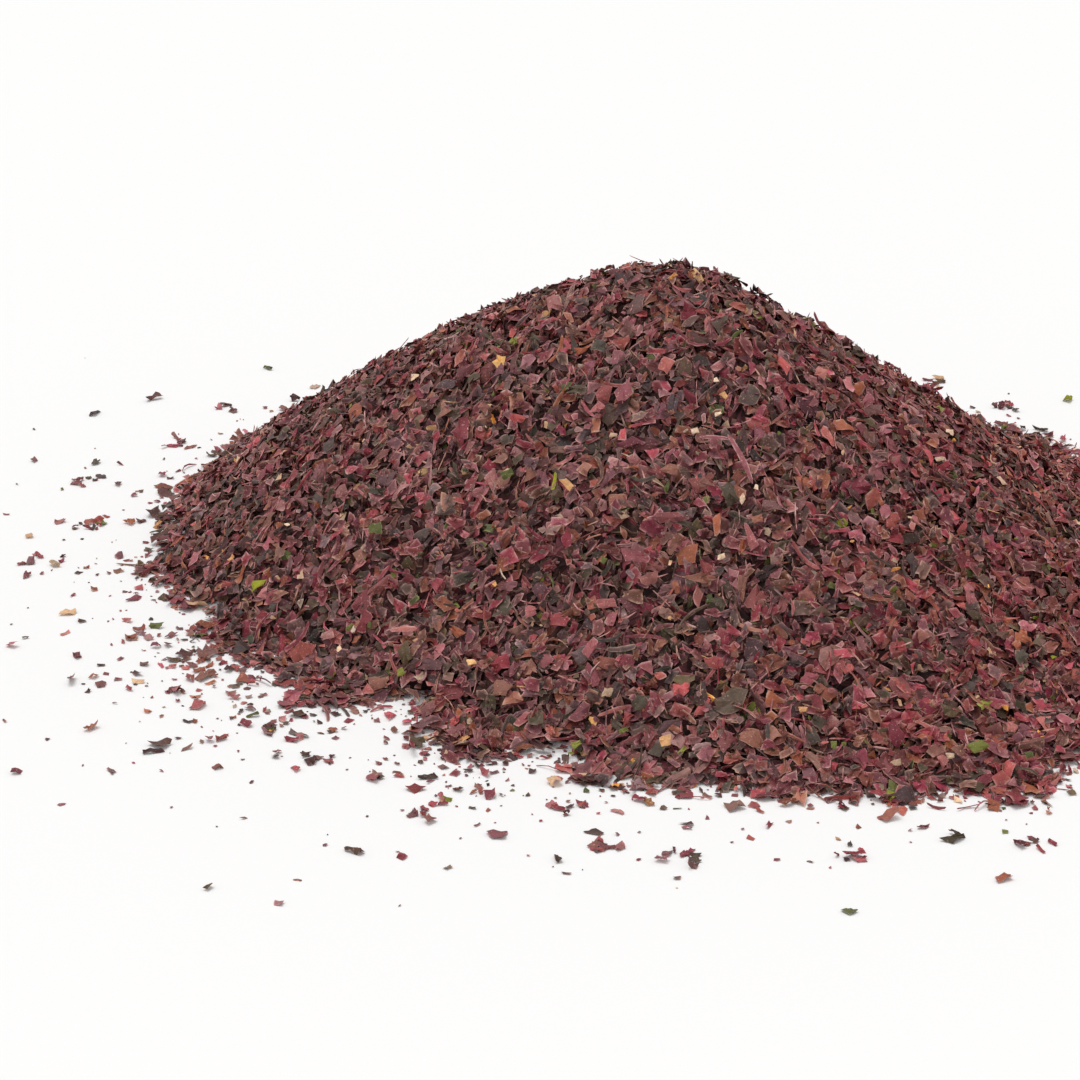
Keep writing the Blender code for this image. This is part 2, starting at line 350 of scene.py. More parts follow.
# The flakes that stand out: how far they lie off the slope and turn from it to the eye, the
# slimness from which they are chips, how much longer those are made, as uneven corners shorten
# them, the forms but for their sizes, their darkest tone, and what the palest adds to it.
NOTABLE_LIFT = 0.35 * MM
NOTABLE_TURN = 0.6
NOTABLE_CHIP = 0.25
NOTABLE_GROWTH = 1.1
NOTABLE_CHIP_FORM = Chip(None, None, (0.16 * MM, 0.24 * MM), 0.5, True)
NOTABLE_STRIP_FORM = Strip(None, None, (0.16 * MM, 0.24 * MM), 0.3, 4, 0.3)
NOTABLE_TONE = 0.25
NOTABLE_TONES = 0.55
# No other flake lies nearer than these shares of their length and of its own half length, where
# its middle is between these heights over theirs.
CLEAR_LENGTH = 0.3
CLEAR_REACH = 0.5
CLEAR_FROM = -0.1 * MM
CLEAR_TO = 6 * MM
# Where the photograph shows them: their pixel, colour, length, width as a share of it, direction
# on the picture in degrees, and how pale they are from 0 to 1.
Notable = namedtuple("Notable", "pixel colour length slim points pale")
NOTABLE = tuple(Notable(*row) for row in (
    ((377, 529), "green", 3.0 * MM, 0.80, 100, 0.4),
    ((508, 475), "green", 2.4 * MM, 0.85, 20, 0.4),
    ((667, 488), "green", 2.6 * MM, 0.30, 78, 0.3),
    ((710, 600), "green", 1.8 * MM, 0.70, 60, 0.2),
    ((651, 358), "green", 1.6 * MM, 0.60, 10, 0.3),
    ((604, 561), "green", 1.5 * MM, 0.70, 70, 0.5),
    ((977, 749), "green", 3.0 * MM, 0.80, 10, 0.7),
    ((624, 732), "green", 1.8 * MM, 0.60, 30, 0.6),
    ((834, 747), "green", 1.8 * MM, 0.70, 0, 0.6),
    ((1028, 757), "green", 1.7 * MM, 0.70, 20, 0.3),
    ((402, 673), "green", 1.9 * MM, 0.60, 15, 0.9),
    ((351, 628), "green", 1.6 * MM, 0.70, 40, 0.6),
    ((371, 626), "green", 1.4 * MM, 0.80, 80, 0.4),
    ((576, 746), "green", 2.0 * MM, 0.60, 20, 0.9),
    ((568, 486), "amber", 2.7 * MM, 0.60, -30, 0.6),
    ((724, 397), "amber", 1.4 * MM, 0.90, 0, 0.6),
    ((472, 663), "amber", 1.9 * MM, 0.60, -15, 0.9),
    ((665, 742), "amber", 2.4 * MM, 0.70, 20, 0.6),
    ((803, 710), "amber", 1.6 * MM, 0.70, 10, 0.6),
    ((160, 526), "amber", 2.2 * MM, 0.60, 30, 0.6),
    ((233, 559), "amber", 1.8 * MM, 0.50, 35, 0.6),
    ((433, 429), "amber", 2.0 * MM, 0.50, 5, 0.2),
    ((671, 471), "umber", 3.5 * MM, 0.62, -12, 0.6),
    ((960, 752), "umber", 2.8 * MM, 0.70, 20, 0.4),
    ((700, 579), "umber", 5.0 * MM, 0.40, -5, 0.6),
    ((742, 588), "umber", 4.8 * MM, 0.40, 84, 0.4),
    ((676, 545), "umber", 4.3 * MM, 0.50, 70, 0.4),
    ((1030, 745), "umber", 4.4 * MM, 0.55, 15, 0.2),
    ((757, 520), "umber", 2.0 * MM, 0.70, 30, 0.9),
    ((671, 519), "maroon", 5.2 * MM, 0.40, 5, 0.6),
    ((650, 578), "maroon", 3.7 * MM, 0.55, 20, 0.8),
    ((607, 604), "rose", 3.4 * MM, 0.60, 0, 0.7),
    ((625, 392), "rose", 4.0 * MM, 0.65, 65, 0.2),
    ((597, 409), "rose", 2.6 * MM, 0.60, 40, 0.6),
    ((821, 375), "rose", 3.0 * MM, 0.75, 60, 1.0),
    ((867, 401), "rose", 3.0 * MM, 0.60, 50, 0.2),
    ((530, 613), "rose", 2.7 * MM, 0.75, 0, 0.6),
    ((591, 650), "rose", 3.8 * MM, 0.50, 60, 0.5),
    ((635, 557), "rose", 5.0 * MM, 0.50, -12, 0.3),
    ((742, 459), "rose", 8.0 * MM, 0.10, -66, 0.2),
    ((718, 439), "rose", 5.0 * MM, 0.12, -8, 0.2),
    ((380, 588), "maroon", 5.6 * MM, 0.26, 42, 0.7),
    ((750, 540), "rose", 4.7 * MM, 0.36, -75, 0.6),
    ((1010, 729), "rose", 2.5 * MM, 0.60, 0, 0.9),
    ((405, 630), "rose", 4.0 * MM, 0.20, -2, 0.9),
    ((887, 452), "rose", 5.0 * MM, 0.14, 84, 0.5),
    ((938, 460), "straw", 1.8 * MM, 0.60, 20, 0.6),
    ((1001, 483), "straw", 2.4 * MM, 0.40, -70, 0.6),
    ((608, 694), "straw", 2.3 * MM, 0.70, 40, 0.4),
    ((613, 436), "straw", 1.5 * MM, 0.60, 0, 0.6),
    ((742, 500), "straw", 1.7 * MM, 0.50, 80, 0.7),
    ((949, 757), "straw", 1.8 * MM, 0.60, 0, 0.6),
    ((695, 432), "straw", 1.3 * MM, 0.90, 0, 0.8),
    ((722, 558), "straw", 1.6 * MM, 0.65, 30, 0.8),
    ((896, 764), "straw", 1.8 * MM, 0.60, 10, 0.4),
    ((718, 415), "straw", 1.4 * MM, 0.50, 20, 1.0),
    ((716, 381), "straw", 1.0 * MM, 0.90, 0, 1.0),
    ((756, 488), "straw", 1.0 * MM, 0.90, 0, 1.0),
))


def foot_radius(angle):
    radius = FOOT_RADIUS + 0 * angle
    for count, swell, first in FOOT_LOBES:
        radius = radius + swell * np.cos(count * (angle - first))
    return radius


def flake_edge(angle):
    """How far out the flakes of the heap reach in each direction."""
    edge = foot_radius(angle)
    for trim, middle, width in FOOT_TRIMS:
        aside = (angle - math.radians(middle) + math.pi) % FULL_TURN - math.pi
        edge = edge - trim * np.exp(-((aside / math.radians(width)) ** 2))
    for count, swing, first in FOOT_WAVES:
        edge = edge + swing * np.cos(count * (angle - math.radians(first)))
    return edge


def heap_height(x, y):
    """The height of the heap over points, with its low swells."""
    angle = np.arctan2(y, x)
    out = np.minimum(1.0, np.hypot(x, y) / foot_radius(angle))
    rim = math.hypot(PEAK_BLUNTNESS, 1.0)
    cone = (rim - np.hypot(PEAK_BLUNTNESS, out)) / (rim - PEAK_BLUNTNESS)
    flare = SLOPE_FLARE + SLOPE_FLARE_SWING * np.cos(angle - SLOPE_FLARE_SIDE)
    height = HEAP_HEIGHT * np.maximum(0.0, cone) ** flare
    for rise, span, way in SWELLS:
        along = x * math.cos(math.radians(way)) + y * math.sin(math.radians(way))
        height = height + rise * np.sin(FULL_TURN * along / span) * (1 - out)
    return height


def heap_normal(x, y):
    step = SLOPE_STEP
    slope_x = (heap_height(x + step, y) - heap_height(x - step, y)) / (2 * step)
    slope_y = (heap_height(x, y + step) - heap_height(x, y - step)) / (2 * step)
    normal = np.stack([-slope_x, -slope_y, np.ones_like(slope_x)], axis=-1)
    return normal / np.linalg.norm(normal, axis=-1, keepdims=True)


def chip_template(points, ringed):
    """Triangles of a chip's top and underside, which meet in a thin edge.

    Its points are the outline, the middle of the top, the middle of the underside, and, on a
    ringed chip, a smaller outline in the top and one in the underside.
    """
    here = np.arange(points)
    after = (here + 1) % points
    tops, lows = [], []
    rings = (points + 2, 2 * points + 2) if ringed else (0, 0)
    for middle, ring, faces in ((points, rings[0], tops), (points + 1, rings[1], lows)):
        faces.append(np.stack([ring + here, ring + after, 0 * here + middle], 1))
        if ringed:
            faces.append(np.stack([here, after, ring + after], 1))
            faces.append(np.stack([here, ring + after, ring + here], 1))
    return np.concatenate(tops), np.concatenate(lows)[:, ::-1]


def outlines(rng, count, corners, steps):
    """Uneven outlines of about unit radius, with nearly straight edges in so many steps."""
    apart = FULL_TURN / corners
    stray = CORNER_STRAY_OF_THREE if corners == 3 else CORNER_STRAY
    angle = (np.arange(corners) + 0.5 + rng.uniform(-stray, stray, (count, corners))) * apart
    lined_up = rng.random((count, 1)) < LINED_UP
    angle = angle + np.where(lined_up, 0.0, rng.uniform(0, FULL_TURN, (count, 1)))
    radius = rng.uniform(*CORNER_OUT, (count, corners))
    shape = np.stack([radius * np.cos(angle), radius * np.sin(angle)], axis=-1)
    after = np.roll(shape, -1, axis=1)
    rows = [shape]
    for k in range(1, steps):
        share = (k + rng.uniform(-STEP_STRAY, STEP_STRAY, (count, corners, 1))) / steps
        torn = rng.uniform(*TORN, (count, corners, 1))
        rows.append((shape + (after - shape) * share) * torn)
    return np.stack(rows, axis=2).reshape(count, steps * corners, 2)


def curled(rng, plan, lift, size, curl):
    """Rolls flat points about a line, the amount differing from flake to flake, with a twist."""
    count = len(plan)
    across = rng.random((count, 1)) < BENT_ACROSS
    way = rng.normal(0, BEND_STRAY, (count, 1)) + np.where(across, math.pi / 2, 0)
    u = plan[..., 0] * np.cos(way) + plan[..., 1] * np.sin(way)
    v = -plan[..., 0] * np.sin(way) + plan[..., 1] * np.cos(way)
    strength = np.where(rng.random((count, 1)) < MORE_CURLED, MORE_CURL, 1.0)
    bow = rng.normal(0, curl, (count, 1)) * strength / size[:, None]
    turn = bow * u
    rise = 0.5 * bow * u**2 * np.sinc(turn / FULL_TURN) ** 2
    rise = rise + rng.normal(0, TWIST * curl, (count, 1)) * u * v / size[:, None]
    u = u * np.sinc(turn / math.pi) - lift * np.sin(turn)
    rise = rise + lift * np.cos(turn)
    x = u * np.cos(way) - v * np.sin(way)
    y = u * np.sin(way) + v * np.cos(way)
    return np.stack([x, y, rise - rise.mean(1, keepdims=True)], axis=-1)


def chips(rng, count, corners, steps, form):
    """Chips in their own frames, one for each row."""
    shape = outlines(rng, count, corners, steps)
    long_side = rng.uniform(*form.length, count)
    short_side = long_side * rng.uniform(*form.slim, count)
    flat = shape * np.stack([long_side, short_side], 1)[:, None, :] / 2
    half = rng.uniform(*form.thickness, (count, 1)) / 2
    crumple = rng.normal(0, CRUMPLE, flat.shape[:2]) * long_side[:, None]
    layers = [flat, np.zeros((count, 2, 2))]
    lifts = [crumple, half, -half]
    # Rim weights: 1 on the outline; the pale they give is partly the leaf's paler edge and partly
    # painted highlight.
    rim_and_highlight_weights = [np.ones(flat.shape[:2]), np.zeros((count, 2))]
    if form.ringed:
        inner = flat * rng.uniform(*RING_SIZE, (count, 1, 1))
        layers += [inner, inner]
        lifts += [RING_CRUMPLE * crumple + half, RING_CRUMPLE * crumple - half]
        rim_and_highlight_weights += [np.zeros(flat.shape[:2]), np.zeros(flat.shape[:2])]
    plan = np.concatenate(layers, axis=1)
    local = curled(rng, plan, np.concatenate(lifts, axis=1), long_side, form.curl)
    return {
        "local": local,
        "faces": chip_template(flat.shape[1], form.ringed),
        "chart": plan / np.abs(plan).max(axis=(1, 2))[:, None, None],
        "rim": np.concatenate(rim_and_highlight_weights, axis=1),
        "reach": long_side / 2,
    }


def strip_template(stations):
    """Triangles of a strip; a station has a left edge, a top, a right edge and an underside."""
    tops, lows = [], []
    first, last = 4 * stations, 4 * stations + 1
    final = 4 * (stations - 1)
    for a, b, faces in ((0, 1, tops), (1, 2, tops), (2, 3, lows), (3, 0, lows)):
        for here in range(0, final, 4):
            there = here + 4
            faces.append((here + a, here + b, there + b))
            faces.append((here + a, there + b, there + a))
        faces.append((first, b, a))
        faces.append((last, final + a, final + b))
    return np.array(tops)[:, ::-1], np.array(lows)[:, ::-1]


def strips(rng, count, form):
    """Thin strips that curve to one side, curl off their plane, and end in a point."""
    length, width, thickness, bend, stations, spine = form
    s = np.linspace(-STRIP_END, STRIP_END, stations)
    ends = [-0.5, 0.5]
    long_side = rng.uniform(*length, (count, 1))
    wide = rng.uniform(*width, (count, 1)) * rng.uniform(*STRIP_UNEVEN, (count, stations))
    wide *= 1 - rng.uniform(*STRIP_TAPER, (count, 1)) * (2 * s) ** 2
    thick = rng.uniform(*thickness, (count, 1)) * np.ones(stations)
    roll = rng.normal(0, STRIP_ROLL, (count, 1)) + rng.normal(0, STRIP_TWIST, (count, 1)) * s
    across, above = wide / 2 * np.cos(roll), wide / 2 * np.sin(roll)
    aside, up = -thick / 2 * np.sin(roll), thick / 2 * np.cos(roll)
    along = long_side * s
    sides = ((-across, -above), (aside, up), (across, above), (-aside, -up))
    rows = [np.stack((along, *side), -1) for side in sides]
    body = np.stack(rows, axis=2).reshape(count, 4 * stations, 3)
    tips = np.stack([long_side * ends, np.zeros((count, 2)), np.zeros((count, 2))], -1)
    local = np.concatenate([body, tips], axis=1)
    place = np.concatenate([np.repeat(s, 4), ends])
    local[..., 1] += rng.normal(0, STRIP_BEND * bend, (count, 1)) * place**2 * long_side
    local[..., 2] += rng.normal(0, STRIP_CURL * bend, (count, 1)) * place**2 * long_side
    # Rim weights: 1 at the edges and the spine's value in the middle; partly paler edge, partly
    # painted highlight.
    rim = np.tile([1.0, spine, 1.0, spine], stations)
    return {
        "local": local,
        "faces": strip_template(stations),
        "chart": local[..., :2] / np.abs(local[..., :2]).max(axis=(1, 2))[:, None, None],
        "rim": np.tile(np.concatenate([rim, [1.0, 1.0]]), (count, 1)),
        "reach": long_side[:, 0] / 2,
    }


def turned(spin, tilt, toward, normal):
    """Rotations that spin a flake, tip it towards a direction, and lay it on a slope."""
    zero, one = np.zeros(len(spin)), np.ones(len(spin))
    c, s = np.cos(spin), np.sin(spin)
    about = np.array([[c, -s, zero], [s, c, zero], [zero, zero, one]]).transpose(2, 0, 1)
    axis_x, axis_y = np.cos(toward), np.sin(toward)
    cross = np.array([[zero, zero, axis_y], [zero, zero, -axis_x], [-axis_y, axis_x, zero]])
    cross = cross.transpose(2, 0, 1)
    bent = (1 - np.cos(tilt))[:, None, None] * (cross @ cross)
    tip = np.eye(3) + np.sin(tilt)[:, None, None] * cross + bent
    east = np.cross(np.array([0.0, 1.0, 0.0]), normal)
    east /= np.linalg.norm(east, axis=-1, keepdims=True)
    slope = np.stack([east, np.cross(normal, east), normal], axis=-1)
    return slope @ tip @ about


def settle(flakes, place, turn):
    """Puts flakes in their places, none of them through the floor or above the solids' top."""
    world = np.einsum("fij,fvj->fvi", turn, flakes["local"]) + place[:, None, :]
    lowest = world[..., 2].min(axis=1)
    highest = world[..., 2].max(axis=1)
    world[..., 2] += np.maximum(0, FLOOR_GAP - lowest)[:, None]
    world[..., 2] -= np.maximum(0, highest - CAD_BOX[1][2])[:, None]
    return dict(flakes, local=world)


def picked(flakes, rows):
    each = ("local", "chart", "rim", "reach")
    return {key: value[rows] if key in each else value for key, value in flakes.items()}


def sunflower(count, reach):
    index = np.arange(count)
    radius = reach * np.sqrt((index + 0.5) / count)
    return radius, (index * GOLDEN_ANGLE) % FULL_TURN


def spread_on_heap(rng, count, stray, past):
    """Places spread evenly over the heap's footprint and this far past it, which stray a little."""
    ring = np.linspace(0, FULL_TURN, FOOT_DIRECTIONS)
    reach = foot_radius(ring).max() + past
    share = (foot_radius(ring) ** 2).mean() / reach**2
    radius, angle = sunflower(round(count / share), reach)
    inside = radius < flake_edge(angle) + past
    x = (radius * np.cos(angle))[inside] + rng.normal(0, stray, inside.sum())
    y = (radius * np.sin(angle))[inside] + rng.normal(0, stray, inside.sum())
    return x, y


def on_heap(rng, flakes, x, y, depth, lean):
    """Lays flakes on the slope, each at its own depth and lean; a steep one is sunk deeper."""
    count = len(x)
    normal = heap_normal(x, y)
    inside = np.maximum(flake_edge(np.arctan2(y, x)) - np.hypot(x, y), 0)
    upright = 1 - FLATTER * np.exp(-inside / FLAT_REACH)
    facing = normal.copy()
    facing[:, :2] *= ((1 + STEEPER) * upright)[:, None]
    facing /= np.linalg.norm(facing, axis=-1, keepdims=True)
    tilt = np.minimum(np.abs(rng.normal(0, lean, count)), STEEPEST_LEAN)
    steep = rng.uniform(*ON_EDGE_LEAN, count)
    tilt = np.where(rng.random(count) < ON_EDGE, steep, tilt) * upright
    off = np.minimum(rng.normal(*depth, count), -LEAST_DEPTH)
    off -= SUNK * flakes["reach"] * np.sin(tilt)
    place = np.stack([x, y, heap_height(x, y)], axis=-1) + normal * off[:, None]
    spin, toward = rng.uniform(0, FULL_TURN, (2, count))
    return settle(flakes, place, turned(spin, tilt, toward, facing))


def heap_flakes(rng):
    """Every flake of the heap, in batches of one kind."""
    batches = []
    for layer in LAYERS:
        make = chips if isinstance(layer.form, Chip) else strips
        for share, *kind in layer.kinds:
            x, y = spread_on_heap(rng, layer.count * share, layer.stray, layer.past)
            made = make(rng, len(x), *kind, layer.form)
            batches.append(on_heap(rng, made, x, y, layer.depth, layer.lean))
    return batches


class Piece:
    """One object made of many flakes of one colour family."""

    def __init__(self):
        self.batches = []

    def add(self, rng, flakes, pale=HEAP_PALE):
        count = len(flakes["local"])
        if count:
            aside = flakes["local"][..., 0].mean(axis=1) - RICHER_FROM
            richer = np.clip(aside / RICHER_OVER, 0, 1)
            hue = rng.uniform(0, 1, count)
            tone = np.clip(pale + rng.normal(0, TONE_STRAY + RICHER_TONES * richer), 0, 1)
            least, most = CHROMA_LIMITS
            chroma = rng.normal(CHROMA, CHROMA_STRAY, count) + RICHER_CHROMA * richer
            chroma = np.clip(chroma, least + RICHER_CHROMA * richer, most)
            self.batches.append((flakes, hue, tone, chroma))

    def add_notable(self, flake, pale):
        tone = NOTABLE_TONE + NOTABLE_TONES * pale
        self.batches.append((flake, *np.array([[pale], [tone], [1.0]])))

    def make(self, name, material):
        mesh = bpy.data.meshes.new(name)
        points, triangles, charts = [], [], []
        # The rim label carries the pale rim, which is partly the leaf's paler edge and partly
        # painted highlight.
        labels = {"rim": [], "hue": [], "tone": [], "chroma": []}
        total = sum(len(batch[0]["local"]) for batch in self.batches)
        cells = math.ceil(math.sqrt(2 * total))
        first_point = 0
        first_flake = 0
        for flakes, hue, tone, chroma in self.batches:
            local = flakes["local"]
            count, corners = local.shape[:2]
            faces = np.concatenate(flakes["faces"])
            start = first_point + corners * np.arange(count)[:, None, None]
            triangles.append((faces[None] + start).reshape(-1, 3))
            points.append(local.reshape(-1, 3))
            labels["rim"].append(flakes["rim"].reshape(-1))
            for label, each in (("hue", hue), ("tone", tone), ("chroma", chroma)):
                labels[label].append(np.repeat(each, corners))
            charts.append(bake_chart(flakes, first_flake, cells))
            first_point += count * corners
            first_flake += count
        fill_mesh(mesh, np.concatenate(points), np.concatenate(triangles))
        chart = mesh.uv_layers.new(name="OFBake")
        chart.data.foreach_set("uv", np.concatenate(charts).astype(np.float32).ravel())
        for label, values in labels.items():
            attribute = mesh.attributes.new(label, "FLOAT", "POINT")
            attribute.data.foreach_set("value", np.concatenate(values).astype(np.float32))
        return new_piece(name, mesh, material)


def bake_chart(flakes, first_flake, cells):
    """A cell of the bake map for the top of each flake, and the next one for its underside."""
    parts = []
    for which, faces in enumerate(flakes["faces"]):
        cell = 2 * (first_flake + np.arange(len(flakes["chart"]))) + which
        corner = np.stack([cell % cells, cell // cells], axis=-1)[:, None, None, :]
        parts.append((corner + 0.5 + CHART_REACH * flakes["chart"][:, faces]) / cells)
    return np.concatenate(parts, axis=1).reshape(-1, 2)


def fill_mesh(mesh, points, triangles):
    mesh.vertices.add(len(points))
    mesh.vertices.foreach_set("co", points.astype(np.float32).ravel())
    mesh.loops.add(3 * len(triangles))
    mesh.loops.foreach_set("vertex_index", triangles.astype(np.int32).ravel())
    mesh.polygons.add(len(triangles))
    mesh.polygons.foreach_set("loop_start", 3 * np.arange(len(triangles), dtype=np.int32))
    mesh.update(calc_edges=True)
    mesh.validate()


def new_piece(name, mesh, material, sharp=FLAKE_SHARP):
    mesh.shade_smooth()
    mesh.set_sharp_from_angle(angle=sharp)
    mesh.materials.append(material)
    piece = bpy.data.objects.new(name, mesh)
    bpy.context.scene.collection.objects.link(piece)
    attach(piece, "root")
    return piece


class Graph:
    """A short way to write a material's nodes."""

    def __init__(self, name):
        self.material = bpy.data.materials.new(name)
        self.material.use_nodes = True
        self.nodes = self.material.node_tree.nodes
        self.links = self.material.node_tree.links
        self.shader = self.nodes["Principled BSDF"]
        self.place = self.nodes.new("ShaderNodeTexCoord").outputs["Object"]

    def node(self, kind, inputs, **settings):
        """A new node, whose inputs are numbers, colours, or outputs of other nodes."""
        node = self.nodes.new("ShaderNode" + kind)
        for name, setting in settings.items():
            setattr(node, name, setting)
        for name, given in inputs.items():
            if isinstance(given, bpy.types.NodeSocket):
                self.links.new(given, node.inputs[name])
            else:
                node.inputs[name].default_value = given
        return node

    def value(self, name):
        return self.node("Attribute", {}, attribute_name=name).outputs["Fac"]

    def noise(self, per_mm, detail, rough):
        inputs = {"Vector": self.place, "Scale": per_mm / MM, "Detail": detail, "Roughness": rough}
        return self.node("TexNoise", inputs).outputs["Fac"]

    def cells(self, per_mm):
        node = self.node("TexVoronoi", {"Vector": self.place, "Scale": per_mm / MM})
        return node.outputs["Color"], node.outputs["Distance"]

    def ramp(self, fac, stops):
        node = self.node("ValToRGB", {"Fac": fac})
        elements = node.color_ramp.elements
        while len(elements) < len(stops):
            elements.new(0.5)
        for element, (at, colour) in zip(elements, stops):
            element.position = at
            element.color = colour
        return node.outputs["Color"]

    def spread(self, fac, low, high):
        inputs = {"Value": fac, "To Min": low, "To Max": high}
        return self.node("MapRange", inputs).outputs["Result"]

    def limited(self, fac, low, high):
        """0 below the low value, 1 above the high one, and even between them."""
        inputs = {"Value": fac, "From Min": low, "From Max": high}
        return self.node("MapRange", inputs).outputs["Result"]

    def math(self, kind, a, b):
        return self.node("Math", {0: a, 1: b}, operation=kind).outputs["Value"]

    def mix(self, kind, fac, a, b):
        inputs = {"Factor": fac, MIX_FIRST: a, MIX_SECOND: b}
        node = self.node("Mix", inputs, data_type="RGBA", blend_type=kind)
        return node.outputs[MIX_RESULT]

    def strengthened(self, colour, chroma, light):
        inputs = {"Color": colour, "Saturation": chroma, "Value": light}
        return self.node("HueSaturation", inputs).outputs["Color"]

    def finish(self, colour, rough, specular, height, strength, distance):
        """Sets the shader's colour, gloss and bumps, and gives the material."""
        bump = self.node("Bump", {"Height": height, "Strength": strength, "Distance": distance})
        self.links.new(colour, self.shader.inputs["Base Color"])
        self.links.new(rough, self.shader.inputs["Roughness"])
        self.links.new(bump.outputs["Normal"], self.shader.inputs["Normal"])
        self.shader.inputs["Specular IOR Level"].default_value = specular
        return self.material


def srgb(red, green, blue):
    """A colour as a screen shows it, from 0 to 255, made linear."""
    def linear(v):
        v /= 255
        return v / 12.92 if v <= 0.04045 else ((v + 0.055) / 1.055) ** 2.4
    return linear(red), linear(green), linear(blue), 1.0


# A Mix node's colour sockets.
MIX_FIRST = 6
MIX_SECOND = 7
MIX_RESULT = 2

# Each colour family: a range of hues, and the paler colour of the thin torn rims, which is partly
# the leaf's own paler edge and partly painted highlight where edges catch the light.
FAMILIES = {
    "laver_maroon": ((109, 55, 64), (116, 62, 65), (120, 77, 67), (214, 154, 148)),
    "laver_dark": ((66, 41, 43), (73, 52, 48), (77, 67, 49), (166, 132, 122)),
    "laver_rose": ((143, 80, 88), (148, 84, 86), (152, 94, 86), (232, 184, 178)),
    "laver_umber": ((105, 67, 60), (121, 78, 66), (137, 88, 72), (214, 170, 148)),
    "laver_green": ((64, 66, 40), (87, 90, 44), (120, 120, 50), (168, 166, 106)),
    "laver_amber": ((150, 104, 72), (186, 137, 92), (208, 164, 112), (226, 192, 146)),
    "laver_straw": ((146, 118, 98), (178, 148, 122), (206, 180, 154), (228, 206, 182)),
}
# How rough each family is, and how far that goes down and up.
ROUGHNESS = {"laver_dark": 0.5, "laver_amber": 0.42, "laver_green": 0.5}
ROUGHNESS_OF_OTHERS = 0.52
SMOOTHER = -0.15
ROUGHER = 0.2
LEAF_SPECULAR = 0.25
# How light a flake is from its darkest tone to its palest, and how much of that light a flake of
# no colour would lack.
TONE_LIGHT = (0.54, 1.99)
CHROMA_LIGHT = 0.75
# The leaf's noises, as waves to a millimetre, detail and roughness, each with what it does.
BLOTCHES = (0.9, 3.0, 0.6)
BLOTCH_LIGHT = (0.5, 1.5)
GRAIN = (5.0, 2.0, 0.6)
GRAIN_LIGHT = (0.7, 1.3)
# The breaks in the pale rim, which is partly the leaf's paler edge and partly painted highlight.
RIM_HIGHLIGHT_GAPS = (0.8, 2.0, 0.5)
RIM_HIGHLIGHT_GAP_LIMITS = (0.44, 0.60)
RIM_HIGHLIGHT_POWER = 5.0
# Painted glints: the flecks, where they show, and how far they take the rim's pale colour.
GLINT_FLECKS = (3.5, 1.0, 0.5)
GLINT_FLECK_LIMITS = (0.66, 0.72)
GLINT_FLECK_STRENGTH = 0.55
GLOSS = (2.2, 2.0, 0.5)
CRINKLES = (2.0, 4.0, 0.6)
CRINKLE_STRENGTH = 0.8
CRINKLE_DEPTH = 0.2 * MM
# The core's crumb: bits to a millimetre and their colours, and its noises in the same way.
CRUMB_BITS = 0.75
CRUMB_COLOURS = ((0.25, (58, 38, 38)), (0.5, (104, 58, 62)), (0.75, (84, 60, 54)))
CRUMB_BLOTCHES = (1.4, 3.0, 0.6)
CRUMB_LIGHT = (0.5, 1.3)
CRUMB_GLOSS = (2.5, 2.0, 0.5)
CRUMB_ROUGHNESS = (0.6, 0.9)
CRUMB_SPECULAR = 0.2
CRUMB_BUMPS = (1.8, 4.0, 0.65)
CRUMB_STRENGTH = 0.9
CRUMB_DEPTH = 0.3 * MM


def laver_material(name):
    """Dried leaf: each flake's own mottled colour, painted glints in pale flecks, and a pale broken
    rim of real edge and painted highlight.
    """
    graph = Graph(name)
    plum, middle, brown, rim = (srgb(*colour) for colour in FAMILIES[name])
    colour = graph.ramp(graph.value("hue"), [(0.0, plum), (0.5, middle), (1.0, brown)])
    chroma = graph.value("chroma")
    tone = graph.spread(graph.value("tone"), *TONE_LIGHT)
    evened = graph.math("ADD", graph.math("MULTIPLY", chroma, CHROMA_LIGHT), 1 - CHROMA_LIGHT)
    blotch = graph.spread(graph.noise(*BLOTCHES), *BLOTCH_LIGHT)
    grain = graph.spread(graph.noise(*GRAIN), *GRAIN_LIGHT)
    light = graph.math("MULTIPLY", graph.math("MULTIPLY", tone, evened), blotch)
    light = graph.math("MULTIPLY", light, grain)
    colour = graph.strengthened(colour, chroma, light)
    # The pale broken rim: partly the leaf's paler torn edge, partly painted highlight where edges
    # catch the light.
    edge = graph.math("POWER", graph.value("rim"), RIM_HIGHLIGHT_POWER)
    edge = graph.math("MULTIPLY", edge, graph.limited(graph.noise(*RIM_HIGHLIGHT_GAPS), *RIM_HIGHLIGHT_GAP_LIMITS))
    # Painted glints: small pale flecks in the rim's colour.
    painted_glint = graph.limited(graph.noise(*GLINT_FLECKS), *GLINT_FLECK_LIMITS)
    painted_glint = graph.math("MULTIPLY", painted_glint, GLINT_FLECK_STRENGTH)
    colour = graph.mix("MIX", graph.math("MAXIMUM", edge, painted_glint), colour, rim)
    base = ROUGHNESS.get(name, ROUGHNESS_OF_OTHERS)
    rough = graph.spread(graph.noise(*GLOSS), base + SMOOTHER, base + ROUGHER)
    height = graph.noise(*CRINKLES)
    return graph.finish(colour, rough, LEAF_SPECULAR, height, CRINKLE_STRENGTH, CRINKLE_DEPTH)


def core_material():
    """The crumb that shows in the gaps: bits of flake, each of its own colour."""
    graph = Graph("laver_crumb")
    bit, way_in = graph.cells(CRUMB_BITS)
    stops = [(at, srgb(*colour)) for at, colour in CRUMB_COLOURS]
    light = graph.spread(graph.noise(*CRUMB_BLOTCHES), *CRUMB_LIGHT)
    colour = graph.mix("MULTIPLY", 1.0, graph.ramp(bit, stops), light)
    rough = graph.spread(graph.noise(*CRUMB_GLOSS), *CRUMB_ROUGHNESS)
    height = graph.math("ADD", way_in, graph.noise(*CRUMB_BUMPS))
    return graph.finish(colour, rough, CRUMB_SPECULAR, height, CRUMB_STRENGTH, CRUMB_DEPTH)


